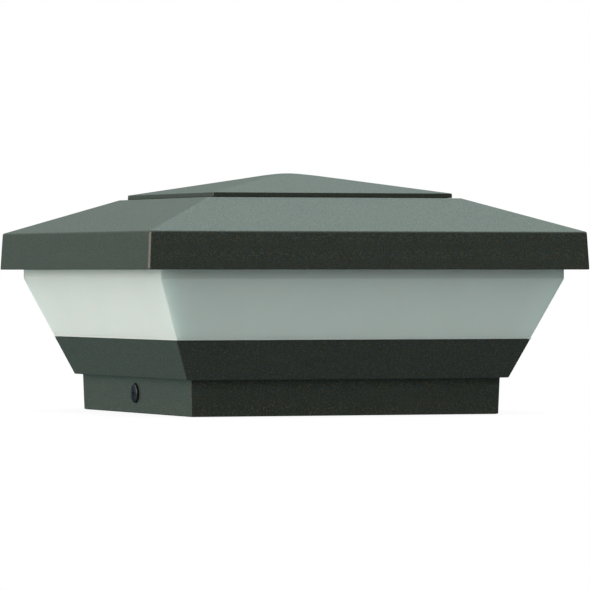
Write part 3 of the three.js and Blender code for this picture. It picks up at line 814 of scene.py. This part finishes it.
RUBBER_SIDES = 48
WASHER_BORE_R, WASHER_THICK = 1.6, 0.35
HEAD_GAP = 0.1  # between a fixing screw's head and its washer
FIXING_MESH = disc_screw("fixing_screw", FIXING_HEAD_R, head_h=0.85, shank_r=1.4, length=12, pitch=1.1)
WASHER_MESH = new_mesh("fixing_washer", turned([
    (WASHER_BORE_R, 0, 0.08), (FIXING_HEAD_R, 0, 0.12),
    (FIXING_HEAD_R, WASHER_THICK, 0.12), (WASHER_BORE_R, WASHER_THICK, 0.08),
], RUBBER_SIDES, closed=True))
for side, label in ((-1, "left"), (1, "right")):
    washer_low, washer_high = in_mm(f"fixing_washer_{label}")
    washer_x = washer_low.x if side > 0 else washer_high.x
    head_x = washer_x + side * (WASHER_THICK + HEAD_GAP)
    washer = piece(f"fixing_washer_{label}_fine", WASHER_MESH, FINISHES["black_rubber"],
                   f"fixing_washer_{label}", f"{label}_washer")
    washer.matrix_basis = Matrix.Translation(Vector((washer_x, 0, FIXING_Z)) * MM) @ outward(side)
    screw = piece(f"fixing_screw_{label}_fine", FIXING_MESH, FINISHES["dark_steel"],
                  f"fixing_screw_{label}", f"{label}_screw")
    screw.matrix_basis = Matrix.Translation(Vector((head_x, 0, FIXING_Z)) * MM) @ outward(side)


# ---- seals ----
def seal(node, width, soft):
    """A moulded ring that fills its CAD node's height. soft is the radius of its edges."""
    low, high = in_mm(node)
    outer, inner = high.x, high.x - width
    profile = [(inner, low.z, soft), (outer, low.z, soft), (outer, high.z, soft), (inner, high.z, soft)]
    mesh = new_mesh(f"{node}_fine", swept(profile, lambda half, z: INNER_CORNER, closed=True))
    piece(f"{node}_fine", mesh, FINISHES["black_rubber"], node)


seal("lens_foot_gasket", 1.0, 0.35)
seal("lens_top_gasket", 2.6, 0.6)
seal("peak_seal", 1.4, 0.3)


def rubber_ring(node, bore, neck, plate_low, plate_high):
    """A grommet in a plate: two rounded flanges and a neck, about the middle of its CAD node."""
    low, high = in_mm(node)
    flange = (high.x - low.x) / 2
    gap, soft = 0.1, 0.3
    profile = [
        (bore, low.z, soft),
        (flange, low.z, soft),
        (flange, plate_low - gap, soft),
        (neck, plate_low - gap, 0.1),
        (neck, plate_high + gap, 0.1),
        (flange, plate_high + gap, soft),
        (flange, high.z, soft),
        (bore, high.z, soft),
    ]
    middle_x, middle_y = (low.x + high.x) / 2, (low.y + high.y) / 2
    ring = placed(turned(profile, RUBBER_SIDES, closed=True), middle_x, middle_y)
    piece(f"{node}_fine", new_mesh(f"{node}_fine", ring), FINISHES["black_rubber"], node)


rubber_ring("wire_bush", 2.5, 3.3, REFLECTOR_TOP_Z - REFLECTOR_WALL, REFLECTOR_TOP_Z)
rubber_ring("cable_grommet", 3.4, 4.85, WEB_BOTTOM_Z + GROMMET_RECESS, WEB_TOP_Z)


# ---- reflector ----
def reflector_tray():
    """An open tray, upside down, with a rounded rim."""
    under = REFLECTOR_TOP_Z - REFLECTOR_WALL
    rim = {"outer": REFLECTOR_HIGH.x, "inner": REFLECTOR_HIGH.x - 1.4, "knee": 21.9}
    profile = [
        (0, under),
        (23.5, under, 1.2),
        (rim["inner"], rim["knee"] - 0.8, 0.6),
        (rim["inner"], REFLECTOR_LOW.z, 0.3),
        (rim["outer"], REFLECTOR_LOW.z, 0.3),
        (rim["outer"], rim["knee"], 0.8),
        (24, REFLECTOR_TOP_Z, 1.8),
        (0, REFLECTOR_TOP_Z),
    ]
    notch_r, notch_top = PILLAR_R + 0.7, REFLECTOR_TOP_Z + 1
    pillar_notch = turned([(0, WEB_TOP_Z), (notch_r, WEB_TOP_Z), (notch_r, notch_top), (0, notch_top)])
    screw_hole = hole(1.4, under, REFLECTOR_TOP_Z)
    wire_hole = hole(3.5, under, REFLECTOR_TOP_Z, 0.12)
    return carved(
        "reflector_fine", swept(profile, lambda half, z: 3.0),
        cut=[placed(pillar_notch, x, y) for x, y in four_corners(PILLAR_AT)]
        + [placed(screw_hole, x, y) for x, y in REFLECTOR_SCREWS]
        + [placed(wire_hole, *LED_WIRE_HOLE)],
    )


piece("reflector_fine", reflector_tray(), FINISHES["reflector_white"], "reflector")


# ---- LEDs: a white body with a domed yellow phosphor in its lower face, and two metal feet ----
def box_ring(across, along, z, corner=0.25):
    """A rounded rectangle at height z. across and along are half its sides."""
    ring = []
    for quarter, (x, y) in enumerate(QUARTERS):
        for k in range(CORNER_STEPS + 1):
            angle = (quarter + k / CORNER_STEPS) * math.pi / 2
            ring.append((x * (across - corner) + corner * math.cos(angle),
                         y * (along - corner) + corner * math.sin(angle), z))
    return ring


def join_parts(mesh, parts):
    """The mesh with more shapes joined to it, each with the number of its material."""
    body = bmesh.new()
    body.from_mesh(mesh)
    for (vertices, faces), material in parts:
        made = [body.verts.new(Vector(v) * MM) for v in vertices]
        for face in faces:
            body.faces.new([made[i] for i in face]).material_index = material
    body.to_mesh(mesh)
    body.free()
    return mesh


def led_mesh():
    """The body with its dome and feet, hanging below z = 0, which is the board's face."""
    half_x, half_y, low, high, soft = 1.6, 1.25, -0.75, -0.12, 0.08
    well_floor = low + 0.2
    rings = [
        box_ring(half_x - soft, half_y - soft, low), box_ring(half_x, half_y, low + soft),
        box_ring(half_x, half_y, high),
    ]
    well = turned([(0, low - 0.3), (1.25, low - 0.3), (1.05, well_floor), (0, well_floor)])
    mesh = carved("led_fine", loft(rings), cut=[well])
    dome = turned([
        (0, low + 0.02), (0.45, low + 0.03), (0.8, low + 0.09), (1.02, well_floor), (0.9, low + 0.28),
        (0, low + 0.28),
    ], 32)
    foot = loft([box_ring(0.35, 1.1, z, 0.1) for z in (high - 0.05, -0.03)])
    for finish in ("board_white", "led_yellow", "zinc_steel"):
        mesh.materials.append(FINISHES[finish])
    yellow, zinc = 1, 2
    return join_parts(mesh, [(dome, yellow), (placed(foot, -1.25), zinc), (placed(foot, 1.25), zinc)])


LED_MESH = led_mesh()
for i in range(1, 9):
    low, high = in_mm(f"led_{i}")
    sideways = high.y - low.y > high.x - low.x
    led = piece(f"led_{i}_fine", LED_MESH, FINISHES["led_yellow"], f"led_{i}")
    middle = Vector(((low.x + high.x) / 2, (low.y + high.y) / 2, BOARD_LOW.z))
    led.matrix_basis = Matrix.Translation(middle * MM) @ Matrix.Rotation(math.pi / 2 * sideways, 4, "Z")


# ---- wires: a round tube with rounded ends, on the same routes as the CAD wires ----
WIRE_R = 0.7
WIRE_SIDES = 14
WIRE_END = [(0.0, 0.55), (0.1, 0.85), (0.25, 1.0)]  # distance from the end, and share of the full radius
POINTS_PER_SPAN = 4
RESIN_TOP_Z = 30.6
WIRE_END_Z = RESIN_TOP_Z + 0.1


def between(first, second, start, end, at):
    """The point on the line from first, at start, to second, at end."""
    return first * ((end - at) / (end - start)) + second * ((at - start) / (end - start))


def smooth_route(points):
    """Points on a centripetal Catmull-Rom curve through the given ones."""
    knots = [Vector(p) for p in points]
    ends = [2 * knots[0] - knots[1], *knots, 2 * knots[-1] - knots[-2]]
    route = []
    for i in range(1, len(ends) - 2):
        p = ends[i - 1:i + 3]
        t = [0.0]
        for a, b in zip(p, p[1:]):
            t.append(t[-1] + math.sqrt((b - a).length))
        for k in range(POINTS_PER_SPAN):
            u = t[1] + (t[2] - t[1]) * k / POINTS_PER_SPAN
            a = [between(p[j], p[j + 1], t[j], t[j + 1], u) for j in range(3)]
            b = [between(a[j], a[j + 1], t[j], t[j + 2], u) for j in range(2)]
            route.append(between(*b, t[1], t[2], u))
    route.append(knots[-1])
    return route


def tube(points):
    """A tube along the smooth route, whose section is carried along without twisting."""
    route = smooth_route(points)
    rings, side = [], Vector((1, 0, 0))
    for i, at in enumerate(route):
        along = (route[min(i + 1, len(route) - 1)] - route[max(i - 1, 0)]).normalized()
        side = (side - along * side.dot(along)).normalized()
        over = along.cross(side)
        sections = [(0, 1.0)]
        if i == 0:
            sections = WIRE_END
        elif i == len(route) - 1:
            sections = [(-step, share) for step, share in reversed(WIRE_END)]
        for step, share in sections:
            ring = []
            for k in range(WIRE_SIDES):
                angle = 2 * math.pi * k / WIRE_SIDES
                spoke = side * math.cos(angle) + over * math.sin(angle)
                ring.append(tuple(at + along * step + spoke * (share * WIRE_R)))
            rings.append(ring)
    return loft(rings)


def led_wire(offset):
    """From the driver's resin, over its wall, down and up through the bush, to the LED board."""
    start, rise = -10 + offset, LED_WIRE_HOLE[0] + offset
    return tube([
        (start, 10, WIRE_END_Z), (start, 10, 31.4), (start - 0.2, 8.4, 32.5), (start - 0.6, 5.4, 32.7),
        (start - 1, 2.2, 32.2), (rise + 0.3, -1.4, 30.6), (rise, -5, 29.7), (rise, -7.5, 31),
        (rise, -8.1, 34.4), (rise, -8.6, 39), (rise, -12.5, 47), (rise, -19, 52.5), (rise, -22.9, 56),
        (rise, -23.4, 58.6), (rise, -23.4, BOARD_LOW.z - 0.1),
    ])


def supply_wire(from_x, to_x):
    """From under a terminal screw, up beside the driver and over its wall into the resin."""
    gap_y, low_z = 1.1, 23.5
    quarter_x, middle_x, late_x = (3 * from_x + to_x) / 4, (from_x + to_x) / 2, (from_x + 3 * to_x) / 4
    return tube([
        (from_x, -5, low_z), (from_x, gap_y - 2.1, low_z), (from_x, gap_y - 0.5, low_z + 0.6),
        (from_x, gap_y, low_z + 2.6), (quarter_x, gap_y, 29.6), (middle_x, gap_y + 1.2, 32.2),
        (late_x, gap_y + 3.6, 32.7), (to_x, gap_y + 6, 32.2), (to_x, gap_y + 6.7, 31.3),
        (to_x, gap_y + 6.7, WIRE_END_Z),
    ])


TERMINAL_X = 15.5
POLE_PITCH = 5
for node_name, colour, shape in (
    ("led_wire_red", "wire_red", led_wire(-1.2)),
    ("led_wire_black", "wire_black", led_wire(1.2)),
    ("supply_wire_1", "wire_black", supply_wire(TERMINAL_X - POLE_PITCH / 2, 9.5)),
    ("supply_wire_2", "wire_black", supply_wire(TERMINAL_X + POLE_PITCH / 2, 13.5)),
):
    piece(f"{node_name}_fine", new_mesh(f"{node_name}_fine", shape), FINISHES[colour], node_name)


# ---- inner pieces whose CAD shape is right: softened edges and a finish ----
WELD_MM = 0.002
FLAT_ANGLE = math.radians(1)  # faces that meet at less than this are one flat face
BEVEL_SEGMENTS = 2


def soften(node, slot, bevel_mm):
    """Rounds a CAD node's edges with modifiers, which leave the points of its mesh alone."""
    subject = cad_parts[node]
    weld = subject.modifiers.new("weld", "WELD")
    weld.merge_threshold = WELD_MM * MM
    flatten = subject.modifiers.new("flatten", "DECIMATE")
    flatten.decimate_type, flatten.angle_limit = "DISSOLVE", FLAT_ANGLE
    bevel = subject.modifiers.new("bevel", "BEVEL")
    bevel.width, bevel.segments = bevel_mm * MM, BEVEL_SEGMENTS
    bevel.limit_method, bevel.angle_limit = "ANGLE", SHARP_ANGLE
    smooth = subject.modifiers.new("normals", "WEIGHTED_NORMAL")
    smooth.keep_sharp = True
    for polygon in subject.data.polygons:
        polygon.use_smooth = True
    subject.data.materials.clear()
    subject.data.materials.append(FINISHES[slot])


for node_name, slot_name, bevel_width in (
    ("led_board", "board_white", 0.15),
    ("thermal_pad", "grey_pad", 0.08),
    ("driver_case", "case_black", 0.35),
    ("driver_board", "board_green", 0.12),
    ("driver_resin", "resin_black", 0.3),
    ("terminal_block", "terminal_grey", 0.2),
    ("terminal_screw_1", "brass", 0.08),
    ("terminal_screw_2", "brass", 0.08),
):
    soften(node_name, slot_name, bevel_width)


# ---- floor, light and camera ----
def floor_material():
    """Pale floor with a faint soft shadow, dark where it is enclosed, and clear from below."""
    shader = Shader("floor_material")
    near = shader.add("ShaderNodeAmbientOcclusion", {"Distance": 0.04}).outputs["AO"]
    far = shader.add("ShaderNodeAmbientOcclusion", {"Distance": 0.15}).outputs["AO"]
    tone = shader.remap(near, 0.1, 0.75, 0.9, 1.0)
    enclosed = shader.remap(far, 0.0, 0.05, 0.02, 1.0)
    shown = shader.add("ShaderNodeMath", {0: tone, 1: enclosed}, operation="MULTIPLY").outputs[0]
    glow = shader.add("ShaderNodeEmission", {"Color": shown}).outputs[0]
    clear = shader.add("ShaderNodeBsdfTransparent").outputs[0]
    from_below = shader.add("ShaderNodeNewGeometry").outputs["Backfacing"]
    both = shader.add("ShaderNodeMixShader", {0: from_below, 1: glow, 2: clear}).outputs[0]
    shader.tree.links.new(both, shader.tree.nodes["Material Output"].inputs["Surface"])
    return shader.material


FLOOR_HALF = 3000
FLOOR_Z = -0.05  # just under the collar's rim
FLOOR_SHAPE = ([(x, y, FLOOR_Z) for x, y in four_corners(FLOOR_HALF)], [(0, 1, 2, 3)])
floor = new_object("floor", new_mesh("floor", FLOOR_SHAPE))
floor.data.materials.append(floor_material())
for ray in ("diffuse", "glossy", "transmission", "volume_scatter", "shadow"):
    setattr(floor, f"visible_{ray}", False)

# Soft light from wide patches of a surrounding dome: direction, how tightly it is gathered, and strength
# in red, green and blue.
LIGHTS = [
    ((0.00, 0.00, 1.00), 2, (1.1, 1.4, 1.2)),
    ((0.36, 0.50, 0.80), 10, (2.2, 2.85, 2.85)),
    ((-0.36, 0.93, 0.00), 10, (0.3, 0.6, 0.55)),
    ((-0.92, -0.38, 0.08), 40, (4.0, 3.55, 2.9)),
    ((-1.00, -0.10, 0.10), 3, (0.3, 0.5, 0.4)),
    ((-0.80, -0.15, 0.60), 3, (2.0, 1.8, 1.85)),
    ((-0.10, -0.75, 0.65), 3, (0.1, 0.3, 0.3)),
    ((0.00, 0.00, -1.00), 2, (0.5, 0.68, 0.68)),
]


def studio_light():
    """A world that lights the object from LIGHTS and shows plain white behind it."""
    world = bpy.data.worlds.new("studio")
    world.use_nodes = True
    bpy.context.scene.world = world
    nodes, links = world.node_tree.nodes, world.node_tree.links
    nodes.clear()

    def connected(kind, *inputs, operation=None):
        """A node with values or outputs of other nodes on its first inputs."""
        node = nodes.new(kind)
        if operation:
            node.operation = operation
        for socket, value in zip(node.inputs, inputs):
            if isinstance(value, bpy.types.NodeSocket):
                links.new(value, socket)
            else:
                socket.default_value = value
        return node

    direction = connected("ShaderNodeTexCoord").outputs["Generated"]
    total = (0, 0, 0)
    for where, gather, strength in LIGHTS:
        towards = Vector(where).normalized()
        facing = connected("ShaderNodeVectorMath", direction, towards, operation="DOT_PRODUCT")
        lit = connected("ShaderNodeMath", facing.outputs["Value"], 0, operation="MAXIMUM").outputs[0]
        patch = connected("ShaderNodeMath", lit, gather, operation="POWER").outputs[0]
        tinted = connected("ShaderNodeVectorMath", patch, strength, operation="MULTIPLY").outputs[0]
        total = connected("ShaderNodeVectorMath", total, tinted, operation="ADD").outputs[0]
    lamp = connected("ShaderNodeBackground", total).outputs[0]
    white = connected("ShaderNodeBackground", (1, 1, 1, 1)).outputs[0]
    seen = connected("ShaderNodeLightPath").outputs["Is Camera Ray"]
    chosen = connected("ShaderNodeMixShader", seen, lamp, white).outputs[0]
    connected("ShaderNodeOutputWorld", chosen)


studio_light()
bpy.context.scene.view_settings.view_transform = "Standard"

CAMERA_AT = (-0.5720, -1.4939, 0.04205)
CAMERA_YAW = math.radians(21.03)  # from +Y towards +X
CAMERA_PITCH = math.radians(0.2474)  # downwards
camera = bpy.data.objects.new("camera", bpy.data.cameras.new("camera"))
bpy.context.scene.collection.objects.link(camera)
camera.data.sensor_width = 36
camera.data.lens = 323.23
camera.data.clip_start = 0.05
camera.data.clip_end = 20
level = math.cos(CAMERA_PITCH)
looking = Vector((math.sin(CAMERA_YAW) * level, math.cos(CAMERA_YAW) * level, -math.sin(CAMERA_PITCH)))
camera.location = CAMERA_AT
camera.rotation_mode = "QUATERNION"
camera.rotation_quaternion = looking.to_track_quat("-Z", "Y")
bpy.context.scene.camera = camera
